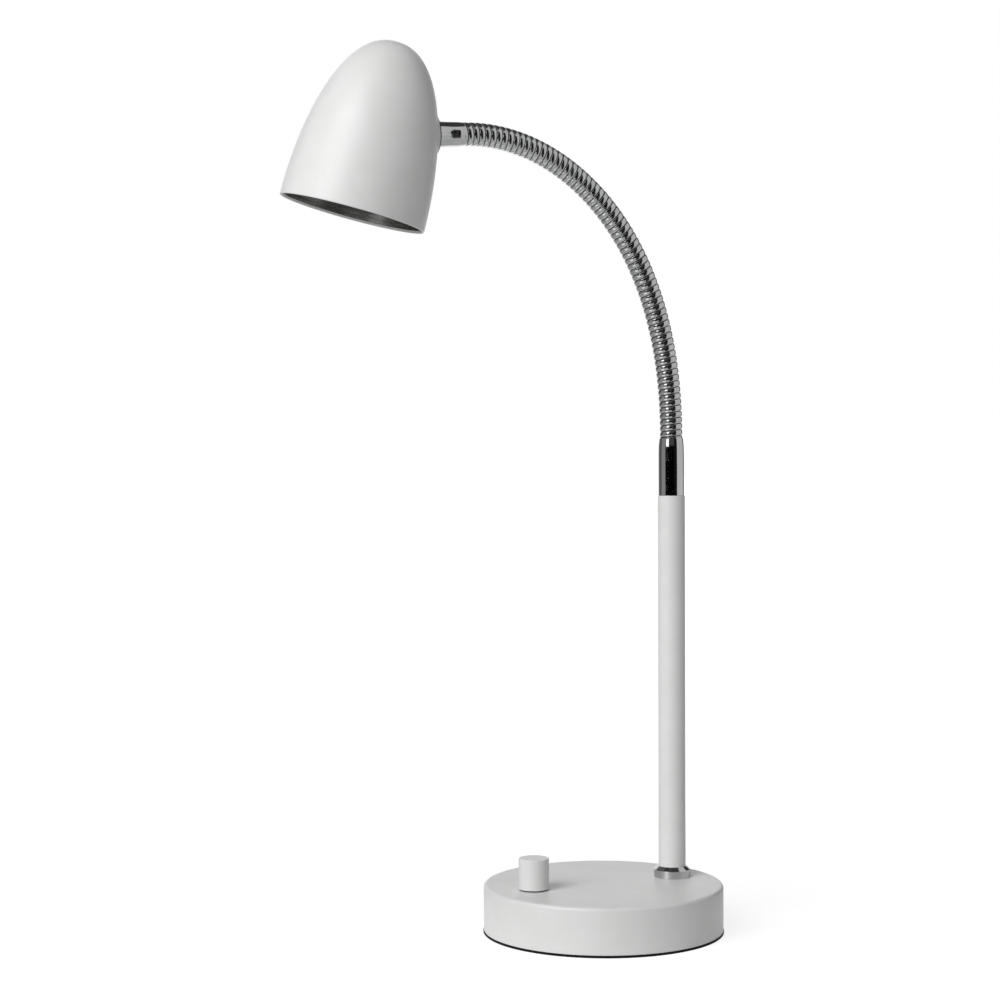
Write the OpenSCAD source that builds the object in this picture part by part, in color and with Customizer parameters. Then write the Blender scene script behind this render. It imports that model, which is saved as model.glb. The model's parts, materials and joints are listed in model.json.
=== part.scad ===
// Gooseneck desk lamp: a round weighted base with a rotary dimmer, a straight pole,
// a flexible neck wound from wire, and a bullet shade that turns on the neck's end.
// All sizes are millimetres and Z is up. The origin is the centre of the base's underside.
// The neck lies in the XZ plane: the pole stands on the +X side and the knob on the -X side.
// The neck bends at eleven joints. Six bend it forward and back, five lean it sideways.

/* [Base] */
// Diameter of the base
base_d = 140; // [130:1:170]
// Height of the base with its pad
base_h = 28; // [27:0.5:40]
// Thickness of the base's pressed steel
base_wall = 1.2; // [0.8:0.1:2]
// Radius of the base's top edge
base_edge_r = 2; // [1.5:0.5:5]
// Thickness of the pad under the base
pad_t = 2; // [2:0.5:4]
// How far the pad stands out past the base
pad_lip = 0.3; // [0:0.1:1]
// Thickness of the bottom plate
plate_t = 1.5; // [1:0.1:2]

/* [Plate screws] */
// Distance of the plate's screws from the base's edge
screw_inset = 15; // [13:1:20]
// Angle of the screws from the X axis
screw_angle = 40; // [35:1:45]
// Diameter of the screws
screw_d = 4; // [3:0.5:5]
// Diameter of the screws' heads
screw_head_d = 7; // [6:0.5:9]
// Height of the screws' heads
screw_head_h = 1.7; // [1:0.1:1.9]
// Length of the screws under their heads
screw_l = 9; // [7:1:12]

/* [Ballast] */
// Thickness of the cast iron ballast
ballast_t = 14; // [12:0.5:15]
// Gap between the ballast and the base's wall
ballast_gap = 6; // [4:0.5:9]
// Room for the dimmer between the knob's axis and the ballast
dimmer_bay = 29; // [27:1:33]
// Diameter of the ballast's boss round the stud
boss_d = 32; // [28:1:36]
// Width of the channel that takes the flex to the stud
channel_w = 7; // [6:0.5:9]

/* [Cord inlet] */
// Bore of the cord inlet's bush
inlet_bore_d = 6.6; // [5:0.2:7]
// Hole in the base's wall for the bush
inlet_hole_d = 10; // [9:0.5:12]
// Diameter of the bush's flanges
inlet_flange_d = 13; // [12.5:0.5:15]
// Thickness of the bush's flanges
inlet_flange_t = 1.4; // [1:0.1:2]
// Height of the cord inlet above the table
inlet_z = 12; // [11:0.5:14]

/* [Dimmer] */
// Distance of the knob's axis from the base's edge
knob_inset = 25; // [22:1:28]
// Diameter of the knob
knob_d = 17.5; // [16:0.5:20]
// Height of the knob
knob_h = 17.8; // [14:0.2:22]
// Gap between the knob and the base
knob_gap = 0.7; // [0.5:0.1:1.5]
// Radius of the knob's edges
knob_edge_r = 0.6; // [0.3:0.1:1.5]
// Diameter of the dimmer's shaft
shaft_d = 6; // [5:0.5:6]
// Diameter of the dimmer's threaded bushing
bushing_d = 8; // [8:0.5:9]
// Diameter of the dimmer's potentiometer
pot_d = 16.5; // [15:0.5:18]
// Height of the potentiometer under the base's top
pot_h = 8.5; // [7:0.5:9]
// Thickness of the dimmer's circuit board
board_t = 1.6; // [1:0.2:2]
// Length of the circuit board
board_l = 38; // [34:1:40]
// Width of the circuit board
board_w = 36; // [32:1:40]

/* [Pole] */
// Distance of the pole's axis from the base's edge
pole_inset = 24; // [22:1:28]
// Diameter of the pole
pole_d = 16; // [15:0.5:20]
// Thickness of the pole's tube
pole_wall = 1.5; // [1:0.1:2]
// Height of the pole above the base
pole_h = 226; // [120:1:300]
// Diameter of the collar at the pole's foot
collar_d = 21.8; // [21:0.2:28]
// Height of the collar's straight band
collar_band_h = 4.5; // [3:0.5:8]
// Height of the collar's cone
collar_cone_h = 1.7; // [1:0.1:3]
// Diameter of the hollow stud through the base
stud_d = 10; // [9:0.5:10]
// Bore of the stud
stud_bore_d = 6; // [5:0.5:6.5]
// Length of the stud inside the pole
stud_grip = 18; // [12:1:24]

/* [Neck] */
// Diameter of the lower ferrule
ferrule_d = 15.2; // [14.6:0.1:15.8]
// Height of the lower ferrule above the pole
ferrule_h = 34; // [24:1:45]
// Diameter of the flexible neck
neck_d = 13.4; // [12.6:0.1:13.6]
// Length of the flexible neck
neck_len = 243; // [200:1:300]
// Bend radius of the neck at its foot
neck_foot_bend_r = 345; // [250:5:600]
// Bend radius of the neck at its tip
neck_tip_bend_r = 95; // [90:1:160]
// Depth of the groove between two ribs
rib_depth = 0.7; // [0.3:0.1:1]
// Ribs on each link of the neck
ribs_per_link = 6; // [4:1:8]
// Bore of the neck for the flex
neck_bore_d = 5; // [4.5:0.1:5.4]
// Diameter of the ball between two links
ball_d = 9.2; // [8.8:0.1:9.6]
// Gap between two links
link_gap = 1.9; // [1.8:0.1:2.4]

/* [Shade] */
// Length of the upper ferrule
tip_ferrule_l = 16.9; // [15.5:0.1:27]
// Diameter of the upper ferrule at the shade
tip_ferrule_d = 15; // [14.6:0.2:17]
// Diameter of the shade's mouth
shade_d = 82.4; // [80:0.2:95]
// Length of the shade
shade_l = 97.8; // [94:0.2:115]
// Thickness of the shade's steel
shade_wall = 1; // [0.8:0.1:1.4]
// Fullness of the shade's outline, where 0.5 is an ellipse
shade_fullness = 0.44; // [0.4:0.01:0.5]
// Distance from the shade's top down to the middle of its seat
seat_drop = 42.3; // [41:0.1:46]
// Angle between the shade's seat and its axis
seat_angle = 17.3; // [13:0.1:20]
// Diameter of the flat seat pressed into the shade
seat_d = 27; // [25:0.5:30]
// How deep the flat is pressed into the curved wall
seat_sink = 0.6; // [0.3:0.1:0.8]
// Turn of the shade on its seat
shade_turn = -6; // [-20:1:20]
// Diameter of the dark washer behind the shade
washer_d = 24; // [20:0.5:26]
// Thickness of the dark washer
washer_t = 0.8; // [0.5:0.1:2]

/* [Lamp] */
// Height of the reflector's lower edge above the shade's mouth
reflector_lift = 3; // [2:0.5:5]
// Height of the reflector
reflector_h = 41; // [34:1:42]
// Diameter of the reflector's top opening
reflector_top_d = 28; // [26:1:32]
// Thickness of the reflector
reflector_wall = 0.6; // [0.5:0.1:0.8]
// Diameter of the ceramic lamp holder
holder_d = 19; // [17:0.5:21]
// Height of the ceramic lamp holder
holder_h = 20; // [18:0.5:22]
// Diameter of the bulb's glass
bulb_d = 13.5; // [11:0.5:15]
// Length of the bulb below its holder
bulb_l = 33; // [28:1:36]

/* [Wiring] */
// Diameter of the twin flex in the pole and neck
flex_d = 3; // [2.4:0.1:3.2]
// Diameter of the single leads
lead_d = 1.6; // [1.2:0.1:1.8]

/* [Fits] */
// Play of a turning or bending fit, on the radius
running_fit = 0.06; // [0.03:0.01:0.1]
// Play of a screw or stud in its hole, on the radius
screw_fit = 0.2; // [0.1:0.05:0.3]

/* [Hidden] */
$fn = 72;
link_count = 10;
cord_sides = 8;
curve_steps = 60;
outline_step = 3;

link_numbers = [1:link_count];

// Base
base_r = base_d / 2;
pole_x = base_r - pole_inset;
knob_x = base_r - knob_inset;
ballast_cut = knob_x - dimmer_bay;
screw_ring_r = base_r - screw_inset;
top_z = base_h - base_wall;
floor_z = pad_t + plate_t;
plate_play = 0.3;
ballast_r = base_r - base_wall - ballast_gap;
cord_bay_x = [-ballast_cut - 1, 14];
block_y = base_r - 39;
cord_bay_y = block_y - 9;
screw_angles = [-screw_angle, screw_angle, 180 - screw_angle, 180 + screw_angle];
screw_room = screw_head_d / 2 + 1;
post_d = screw_d + 4;
inlet_sag = base_r - sqrt(pow(base_r, 2) - pow(inlet_flange_d / 2, 2));
inlet_grip = base_wall + inlet_sag + 0.1;

// Stud, washer and nut under the ballast's roof
pocket_d = 22;
pocket_roof_z = floor_z + 14;
stud_washer_t = 1.5;
stud_nut_h = 4;
stud_nut_across = stud_d + 5;
stud_bottom_z = pocket_roof_z - stud_washer_t - stud_nut_h - 0.5;
pole_in_r = pole_d / 2 - pole_wall;
bush_h = stud_grip + 2;

// Dimmer
pot_bottom_z = top_z - pot_h;
pot_leg_h = 2.5;
board_z = pot_bottom_z - pot_leg_h - board_t;
board_x = -knob_x - 17;
dimmer_nut_h = 2;
dimmer_washer_t = 0.6;
bushing_top_z = base_h + dimmer_washer_t + dimmer_nut_h + 0.6;
knob_bottom_z = base_h + knob_gap;
knob_room_h = bushing_top_z - knob_bottom_z + 0.6;
knob_room_d = knob_d - 4;
shaft_top_z = knob_bottom_z + knob_h - 3;
under_board = 2.2;
capacitor = [16, 7, board_z - floor_z - under_board];
choke_core_r = 6;
choke_wire_r = 2.6;
triac_body = [10, 9, 4.4];
block_size = [22, 14, 9];

// Neck
link_len = neck_len / (link_count + 1);
rib_pitch = link_len / ribs_per_link;
neck_r = neck_d / 2;
groove_r = neck_r - rib_depth;
spigot_r = groove_r - 0.4;
spigot_l = 12;
rib_overlap = 0.3;
mouth_slope = 0.5;
end_gap = 0.15;
end_rib_l = 2.9;
ball_r = ball_d / 2;
neck_start = [pole_x, 0, base_h + pole_h + ferrule_h];

// Upper ferrule and seat
thread_r = 4.9;
seat_hole_r = thread_r + running_fit;
seat_t = 3.2;
bracket_t = 1;
friction_washer_t = 1;
shade_nut_h = 3;
seat_play = 0.05;
tip_ferrule_end = end_rib_l + tip_ferrule_l;
seat_z = tip_ferrule_end + washer_t + 2 * seat_play;
thread_l = washer_t + seat_t + bracket_t + friction_washer_t + shade_nut_h + 1;
shade_r = shade_d / 2;
seat_height = shade_l - seat_drop;
seat_radius = outline_r(shade_r, shade_l, seat_height) - seat_sink;

// Lamp inside the shade
holder_z = reflector_lift + reflector_h + 0.2;
bracket_z = holder_z + holder_h;
bracket_w = 14;
bracket_foot_z = seat_height - seat_t * sin(seat_angle) - bracket_w / 2 * cos(seat_angle);
holder_screw_x = 6;
socket_depth = 10;
bulb_bottom_z = holder_z - bulb_l;
lead_hole_y = 2.2;
lead_hole_z = 12;

// Radius of a bullet outline at a height z above its mouth
function outline_r(r, l, z) = r * pow(max(1 - pow(z / l, 2), 0), shade_fullness);

// Point at a height z in the shade and at a depth behind the seat's face
function behind_seat(depth, z) =
    [seat_radius - depth / cos(seat_angle) - (z - seat_height) * tan(seat_angle), z];

// Points of a bullet outline from its mouth to its top
function outline(r, l) =
    [for (a = [0:outline_step:90]) [a == 90 ? 0 : r * pow(cos(a), 2 * shade_fullness), l * sin(a)]];

// Where joint k of the neck lies along it
function joint_s(k) = (k - 0.5) * link_len;

// Direction of the neck at a distance s along it, in degrees from upright
function neck_angle(s) =
    (s / neck_foot_bend_r + s * s * (1 / neck_tip_bend_r - 1 / neck_foot_bend_r) / (2 * neck_len))
    * 180 / PI;

function total(v, i = 0, sum = [0, 0, 0]) = i == len(v) ? sum : total(v, i + 1, sum + v[i]);

// Place of the neck's centre line at a distance s along it
function neck_point(s) =
    neck_start + total([for (i = [0:curve_steps - 1])
        let (a = neck_angle(s * (i + 0.5) / curve_steps))
        [-sin(a), 0, cos(a)] * s / curve_steps]);

function unit(v) = v / norm(v);

// Cuts the corners of a route, so that it runs in curves
function soften(p) = concat(
    [p[0]],
    [for (i = [0:len(p) - 2]) each [p[i] * 0.75 + p[i + 1] * 0.25, p[i] * 0.25 + p[i + 1] * 0.75]],
    [p[len(p) - 1]]);

function heading(p, i) = unit(p[min(i + 1, len(p) - 1)] - p[max(i - 1, 0)]);

// A side direction at each point of a route, carried along it without twist
function sides_of(p, i = 0, out = []) =
    i == len(p) ? out
    : let (t = heading(p, i), last = i == 0 ? [0.1, 0.9, 0.3] : out[i - 1])
      sides_of(p, i + 1, concat(out, [unit(last - t * (last * t))]));

// Round wire of radius r along the points p
module wire(p, r) {
    n = cord_sides;
    last = len(p) - 1;
    side = sides_of(p);
    points = [for (i = [0:last], j = [0:n - 1])
        let (u = side[i], v = cross(heading(p, i), u), a = 360 * j / n)
        p[i] + r * (u * cos(a) + v * sin(a))];
    walls = [for (i = [0:last - 1], j = [0:n - 1])
        [i * n + j, (i + 1) * n + j, (i + 1) * n + (j + 1) % n, i * n + (j + 1) % n]];
    polyhedron(points, concat([[for (j = [0:n - 1]) j]], walls,
        [[for (j = [n - 1:-1:0]) last * n + j]]));
}

// Turned profile of a disc of radius r and height h with a rounded top edge
module rounded_profile(r, h, edge) {
    square([r - edge, h]);
    square([r, h - edge]);
    translate([r - edge, h - edge]) circle(edge);
}

// Flat ring
module ring(outer_r, inner_r, h) {
    difference() {
        cylinder(r = outer_r, h = h);
        translate([0, 0, -1]) cylinder(r = inner_r, h = h + 2);
    }
}

// Hexagon nut
module hex_nut(across, hole_r, h) {
    difference() {
        cylinder(r = across / 2 / cos(30), h = h, $fn = 6);
        translate([0, 0, -1]) cylinder(r = hole_r, h = h + 2);
    }
}

module at_screws() {
    for (a = screw_angles) rotate([0, 0, a]) translate([screw_ring_r, 0, 0]) children();
}

module at_knob() {
    translate([-knob_x, 0, 0]) children();
}

module at_pole() {
    translate([pole_x, 0, 0]) children();
}

// Places its children on the neck's centre line, with Z along it and X in its plane
module on_neck(s) {
    translate(neck_point(s)) rotate([0, -neck_angle(s), 0]) children();
}

// Places its children in the shade's own frame: Z from the mouth to the top, seat on +X
module on_shade() {
    on_neck(neck_len) translate([0, 0, seat_z]) rotate([0, 0, shade_turn])
        rotate([0, 90 + seat_angle, 0]) translate([-seat_radius, 0, -seat_height]) children();
}

// Places its children on the shade's seat, in the shade's frame, with Z pointing out
module on_seat() {
    translate([seat_radius, 0, seat_height]) rotate([0, 90 - seat_angle, 0]) children();
}

// ---- Base ----

module base_shell() {
    color("white") difference() {
        union() {
            difference() {
                translate([0, 0, pad_t]) rotate_extrude()
                    rounded_profile(base_r, base_h - pad_t, base_edge_r);
                translate([0, 0, pad_t - 1]) rotate_extrude()
                    rounded_profile(base_r - base_wall, top_z - pad_t + 1,
                        max(base_edge_r - base_wall, 0.1));
            }
            for (a = [screw_angles[2], screw_angles[3]]) rotate([0, 0, a])
                translate([screw_ring_r, 0, floor_z])
                    cylinder(d = post_d, h = base_h - base_wall / 2 - floor_z);
        }
        at_pole() cylinder(r = stud_d / 2 + screw_fit, h = base_h + 1);
        at_knob() cylinder(r = bushing_d / 2 + screw_fit, h = base_h + 1);
        translate([0, base_r + 1, inlet_z]) rotate([90, 0, 0])
            cylinder(d = inlet_hole_d, h = base_wall + 4);
        at_screws() translate([0, 0, floor_z - 1]) cylinder(d = screw_d, h = screw_l);
    }
}

module base_plate() {
    color("silver") difference() {
        translate([0, 0, pad_t]) cylinder(r = base_r - base_wall - plate_play, h = plate_t);
        at_screws() translate([0, 0, pad_t - 1])
            cylinder(r = screw_d / 2 + screw_fit, h = plate_t + 2);
    }
}

module base_pad() {
    color([0.08, 0.08, 0.08]) difference() {
        cylinder(r = base_r + pad_lip, h = pad_t);
        at_screws() translate([0, 0, -1]) cylinder(r = screw_room, h = pad_t + 2);
    }
}

module plate_screw() {
    cross_w = screw_head_d * 0.14;
    difference() {
        union() {
            translate([0, 0, pad_t - screw_head_h]) cylinder(d = screw_head_d, h = screw_head_h);
            translate([0, 0, pad_t - 0.1]) cylinder(d = screw_d, h = screw_l + 0.1);
        }
        for (a = [0, 90]) rotate([0, 0, a])
            translate([-screw_head_d * 0.3, -cross_w / 2, pad_t - screw_head_h - 1])
                cube([screw_head_d * 0.6, cross_w, 2]);
    }
}

module plate_screws() {
    color("silver") at_screws() plate_screw();
}

module ballast() {
    color([0.25, 0.25, 0.26]) difference() {
        union() {
            intersection() {
                translate([0, 0, floor_z]) cylinder(r = ballast_r, h = ballast_t);
                translate([-ballast_cut, -base_r, 0]) cube([base_d, base_d, base_h]);
            }
            at_pole() translate([0, 0, floor_z]) cylinder(d = boss_d, h = top_z - floor_z);
        }
        translate([cord_bay_x[0], cord_bay_y, 0])
            cube([cord_bay_x[1] - cord_bay_x[0], base_r, base_h]);
        translate([-ballast_cut - 1, -channel_w / 2, floor_z - 1])
            cube([pole_x + ballast_cut + 1, channel_w, channel_w + 1]);
        at_pole() translate([0, 0, floor_z - 1]) cylinder(d = pocket_d, h = pocket_roof_z - floor_z + 1);
        at_pole() cylinder(r = stud_d / 2 + screw_fit, h = base_h + 1);
        at_screws() translate([0, 0, floor_z - 1]) cylinder(d = screw_d, h = screw_l);
    }
}

// Rubber bush that lines the cord's hole in the back of the base
module inlet_bush() {
    color([0.1, 0.1, 0.1]) translate([0, base_r + 0.05, inlet_z]) rotate([-90, 0, 0]) difference() {
        union() {
            cylinder(d = inlet_flange_d, h = inlet_flange_t);
            translate([0, 0, -inlet_grip - inlet_flange_t]) cylinder(d = inlet_flange_d, h = inlet_flange_t);
            translate([0, 0, -inlet_grip - 0.1]) cylinder(d = inlet_hole_d - 0.1, h = inlet_grip + 0.2);
        }
        translate([0, 0, -inlet_grip - inlet_flange_t - 1])
            cylinder(d = inlet_bore_d, h = inlet_grip + 2 * inlet_flange_t + 2);
    }
}

module terminal_block() {
    hole_x = block_size[0] / 4;
    color([0.9, 0.9, 0.88]) translate([0, block_y, floor_z]) difference() {
        translate([-block_size[0] / 2, 0, 0]) cube(block_size);
        for (x = [-hole_x, hole_x]) {
            translate([x, block_size[1] / 2, block_size[2] - 4]) cylinder(d = 4, h = 5);
            translate([x, block_size[1] - 4, block_size[2] / 2]) rotate([-90, 0, 0])
                cylinder(d = 3.2, h = 5);
        }
        translate([0, block_size[1] / 2, -1]) cylinder(d = 3, h = block_size[2] + 2);
    }
}

// ---- Dimmer ----

module dimmer_board() {
    color([0.1, 0.35, 0.2]) translate([board_x, -board_w / 2, board_z]) cube([board_l, board_w, board_t]);
}

module dimmer_pot() {
    color([0.55, 0.55, 0.57]) at_knob() difference() {
        union() {
            translate([0, 0, pot_bottom_z]) cylinder(d = pot_d, h = pot_h);
            translate([0, 0, top_z - 0.1]) cylinder(d = bushing_d, h = bushing_top_z - top_z + 0.1);
            for (y = [-5, 0, 5]) translate([6, y, board_z + board_t])
                cylinder(d = 1, h = pot_leg_h + 0.5);
        }
        translate([0, 0, pot_bottom_z + 2]) cylinder(r = shaft_d / 2 + running_fit, h = base_h);
    }
}

module dimmer_choke() {
    color([0.7, 0.4, 0.2]) translate([board_x + 10, 8, board_z - choke_wire_r]) {
        rotate_extrude() translate([choke_core_r, 0]) circle(choke_wire_r);
        for (x = [-1, 1]) translate([x * choke_core_r, 0, 0]) cylinder(d = 1, h = choke_wire_r);
    }
}

module dimmer_capacitor() {
    color([0.85, 0.65, 0.1])
        translate([board_x + 16, -board_w / 2 + 2, board_z - capacitor[2]]) cube(capacitor);
}

module dimmer_triac() {
    tab_t = 1.2;
    color([0.15, 0.15, 0.15]) translate([board_x + 21, 4, board_z - triac_body[2]]) difference() {
        union() {
            cube(triac_body);
            translate([0, triac_body[1] - 0.1, triac_body[2] - tab_t]) cube([triac_body[0], 5, tab_t]);
        }
        translate([triac_body[0] / 2, triac_body[1] + 2.6, 0]) cylinder(d = 3, h = triac_body[2] + 1);
    }
}

module dimmer_washer() {
    color("silver") at_knob() translate([0, 0, base_h])
        ring(bushing_d / 2 + 2, bushing_d / 2 + screw_fit, dimmer_washer_t);
}

module dimmer_nut() {
    color("silver") at_knob() translate([0, 0, base_h + dimmer_washer_t])
        hex_nut(bushing_d + 3, bushing_d / 2, dimmer_nut_h);
}

// Two single leads from the terminal block to the circuit board
module dimmer_leads() {
    start = [-block_size[0] / 2, block_y + 7, floor_z + 4.5];
    end = [board_x + board_l - 3, 11, board_z];
    color([0.1, 0.2, 0.5]) for (i = [0, 1]) {
        out = [-2.4 * i, 3 * i, 0];
        wire(soften(soften([start + [0, 3 * i, 0], start + [-6, 0, 0] + out,
            [-ballast_cut - 8, start[1] - 4, start[2] + 1] + out, end + [0, 3, -7] + out,
            end + [0, 0, -5] + out, end + out])), lead_d / 2);
    }
}

module dimmer_shaft() {
    color("silver") at_knob() translate([0, 0, pot_bottom_z + 2.2])
        cylinder(d = shaft_d, h = shaft_top_z - pot_bottom_z - 2.2);
}

module knob() {
    color("white") at_knob() translate([0, 0, knob_bottom_z]) difference() {
        rotate_extrude() rounded_profile(knob_d / 2, knob_h, knob_edge_r);
        translate([0, 0, -1]) cylinder(d = knob_room_d, h = knob_room_h + 1);
        translate([0, 0, -1]) cylinder(r = shaft_d / 2 + 0.01, h = shaft_top_z - knob_bottom_z + 1);
    }
}

// ---- Pole ----

module pole() {
    color("white") at_pole() translate([0, 0, base_h]) ring(pole_d / 2, pole_in_r, pole_h);
}

module pole_collar() {
    inner_r = pole_d / 2 + 0.05;
    color("gainsboro") at_pole() translate([0, 0, base_h]) rotate_extrude() polygon([
        [inner_r, 0], [collar_d / 2, 0], [collar_d / 2, collar_band_h],
        [inner_r + 0.3, collar_band_h + collar_cone_h], [inner_r, collar_band_h + collar_cone_h]]);
}

// Threaded bush inside the pole's foot
module pole_bush() {
    color("goldenrod") at_pole() translate([0, 0, base_h]) ring(pole_in_r, stud_d / 2, bush_h);
}

module pole_stud() {
    color("silver") at_pole() translate([0, 0, stud_bottom_z])
        ring(stud_d / 2, stud_bore_d / 2, base_h + stud_grip - stud_bottom_z);
}

module stud_washer() {
    color("silver") at_pole() translate([0, 0, pocket_roof_z - stud_washer_t])
        ring(pocket_d / 2 - 0.5, stud_d / 2 + screw_fit, stud_washer_t);
}

module stud_nut() {
    color("silver") at_pole() translate([0, 0, pocket_roof_z - stud_washer_t - stud_nut_h])
        hex_nut(stud_nut_across, stud_d / 2, stud_nut_h);
}

// Twin flex from the terminal block up the pole to the neck's first joint
module pole_flex() {
    z = floor_z + flex_d / 2 + 0.4;
    start = [-block_size[0] / 2, block_y + 3, floor_z + 4.5];
    in_base = [start, start + [-4, 0, 0], [-ballast_cut - 5, block_y - 6, z + 1],
        [-ballast_cut - 5, 8, z], [-ballast_cut - 3, 0, z], [0, 0, z], [pole_x - 9, 0, z],
        [pole_x - 1, 0, z], [pole_x, 0, stud_bottom_z], [pole_x, 0, base_h]];
    color("whitesmoke") wire(concat(soften(soften(in_base)), [neck_start],
        [for (i = [1:4]) neck_point((joint_s(1) - 0.6) * i / 4)]), flex_d / 2);
}

// ---- Neck ----

// Crimped sleeve on top of the pole
module lower_ferrule() {
    r = ferrule_d / 2;
    in_pole = 12;
    taper_l = 12;
    mouth = 1.2;
    color("gainsboro") at_pole() translate([0, 0, base_h + pole_h]) difference() {
        rotate_extrude() polygon([[0, -in_pole], [pole_in_r - 0.05, -in_pole], [pole_in_r - 0.05, 0],
            [r, 0], [r, ferrule_h - taper_l], [r - 0.4, ferrule_h - mouth],
            [r - 0.8, ferrule_h], [0, ferrule_h]]);
        translate([0, 0, -in_pole - 1]) cylinder(d = stud_bore_d + 1, h = in_pole + ferrule_h + 2);
        translate([0, 0, ferrule_h - spigot_l - 0.2]) cylinder(r = spigot_r + 0.02, h = spigot_l + 1);
    }
}

// One rib of the neck, kept between two heights
module rib(low, high) {
    h = rib_pitch / 2;
    crown = h * 0.4;
    end_r = groove_r - rib_overlap * rib_depth / (h - crown);
    rotate_extrude() intersection() {
        polygon([[0, -h - rib_overlap], [end_r, -h - rib_overlap], [neck_r, -crown],
            [neck_r, crown], [end_r, h + rib_overlap], [0, h + rib_overlap]]);
        translate([0, low]) square([neck_d, high - low]);
    }
}

// Ribs number first to last, cut back by half a link gap at an end that meets a joint
module ribs(first, last, cut_first, cut_last) {
    h = rib_pitch / 2;
    for (i = [first:last]) on_neck((i + 0.5) * rib_pitch)
        rib(i == first ? -h + cut_first : -h - 1, i == last ? h - cut_last : h + 1);
}

// Bore along the chord between two places on the neck
module chord_cylinder(s1, s2, r, short1, short2) {
    a = neck_point(s1);
    d = neck_point(s2) - a;
    translate(a) rotate([0, atan2(d[0], d[2]), 0]) translate([0, 0, short1])
        cylinder(r = r, h = norm(d) - short1 - short2);
}

// Ball on the far end of a stretch of neck, at joint k
module joint_ball(k) {
    on_neck(joint_s(k)) sphere(r = ball_r);
}

// Widening of the ball's bore, so that the flex can bend with the joint
module ball_mouth(k) {
    r = neck_bore_d / 2 - 0.2;
    on_neck(joint_s(k)) cylinder(r1 = r, r2 = r + mouth_slope * (ball_r + 1), h = ball_r + 1);
}

// Socket and clearance at the near end of a stretch of neck, at joint k
module joint_socket(k) {
    on_neck(joint_s(k)) sphere(r = ball_r + running_fit);
}

// Fixed foot of the neck, held in the lower ferrule
module neck_root() {
    half = ribs_per_link / 2;
    color("gainsboro") difference() {
        union() {
            ribs(0, half - 1, end_gap, link_gap / 2);
            on_neck(0) translate([0, 0, -spigot_l]) cylinder(r = spigot_r, h = spigot_l + 0.5);
            joint_ball(1);
        }
        chord_cylinder(0, joint_s(1), neck_bore_d / 2, -spigot_l - 1, -1);
        ball_mouth(1);
    }
}

// Link k of the neck, from joint k to joint k + 1
module neck_link(k) {
    first = (k - 0.5) * ribs_per_link;
    color("gainsboro") difference() {
        union() {
            ribs(first, first + ribs_per_link - 1, link_gap / 2, link_gap / 2);
            joint_ball(k + 1);
        }
        joint_socket(k);
        chord_cylinder(joint_s(k), joint_s(k + 1), neck_bore_d / 2, -1, -1);
        ball_mouth(k + 1);
    }
}

module neck_flex(k) {
    color("whitesmoke") chord_cylinder(joint_s(k), joint_s(k + 1), flex_d / 2, 0.6, 0.6);
}

// Last stretch of the neck, held in the upper ferrule, with one straight rib in front of it
module neck_tip() {
    last = link_count + 1;
    first = (last - 0.5) * ribs_per_link;
    h = rib_pitch / 2;
    end_l = end_rib_l + spigot_l;
    color("gainsboro") difference() {
        union() {
            ribs(first, first + ribs_per_link / 2 - 1, link_gap / 2, -1);
            on_neck(neck_len) translate([0, 0, h]) rib(-h - 1, end_rib_l - end_gap - h);
            on_neck(neck_len) translate([0, 0, -0.5]) cylinder(r = spigot_r, h = end_l + 0.5);
        }
        joint_socket(last);
        chord_cylinder(joint_s(last), neck_len, neck_bore_d / 2, -1, -end_l - 1);
    }
}

// ---- Shade ----

// Sleeve on the neck's end, with the hollow thread that carries the shade
module upper_ferrule() {
    r = tip_ferrule_d / 2;
    mouth_r = neck_r + 0.1;
    color("gainsboro") on_neck(neck_len) translate([0, 0, end_rib_l]) difference() {
        rotate_extrude() polygon([[0, 0], [mouth_r - 0.4, 0], [mouth_r, 0.6], [mouth_r + 0.15, 1.6],
            [r, tip_ferrule_l - 3], [r, tip_ferrule_l], [thread_r, tip_ferrule_l],
            [thread_r, tip_ferrule_l + thread_l], [0, tip_ferrule_l + thread_l]]);
        translate([0, 0, -1]) cylinder(r = spigot_r + 0.02, h = spigot_l + 1.2);
        cylinder(d = neck_bore_d, h = tip_ferrule_l + thread_l + 1);
    }
}

module tip_flex() {
    end = neck_point(neck_len);
    a = neck_angle(neck_len);
    color("whitesmoke") wire(concat(
        [for (i = [0:3]) neck_point(joint_s(link_count + 1) + 0.6 + (link_len / 2 - 0.6) * i / 3)],
        [for (i = [1:2]) end + [-sin(a), 0, cos(a)] * (tip_ferrule_end + thread_l) * i / 2]), flex_d / 2);
}

// Places its children on the seat's inner side, turning with the ferrule and not with the shade
module inside_seat(depth) {
    on_neck(neck_len) translate([0, 0, seat_z + depth]) children();
}

module friction_washer() {
    color("silver") inside_seat(seat_t + bracket_t + seat_play)
        ring(thread_r + 3.2, thread_r + 0.05, friction_washer_t - 2 * seat_play);
}

module shade_nut() {
    color("silver") inside_seat(seat_t + bracket_t + friction_washer_t - seat_play)
        hex_nut(2 * thread_r + 4, thread_r, shade_nut_h);
}

module shade() {
    color("white") on_shade() difference() {
        union() {
            difference() {
                rotate_extrude() polygon(concat([[0, 0]], outline(shade_r, shade_l)));
                translate([0, 0, -0.01]) rotate_extrude()
                    polygon(concat([[0, 0]], outline(shade_r - shade_wall, shade_l - shade_wall)));
            }
            on_seat() translate([0, 0, -seat_t])
                cylinder(r1 = seat_d / 2 + 1.5, r2 = seat_d / 2, h = seat_t);
        }
        on_seat() cylinder(r = seat_d / 2 + 2, h = 6);
        on_seat() translate([0, 0, -seat_t - 2]) cylinder(r = seat_hole_r, h = seat_t + 4);
    }
}

module shade_washer() {
    color([0.15, 0.15, 0.15]) on_shade() on_seat()
        translate([0, 0, seat_play]) ring(washer_d / 2, seat_hole_r, washer_t);
}

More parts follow.
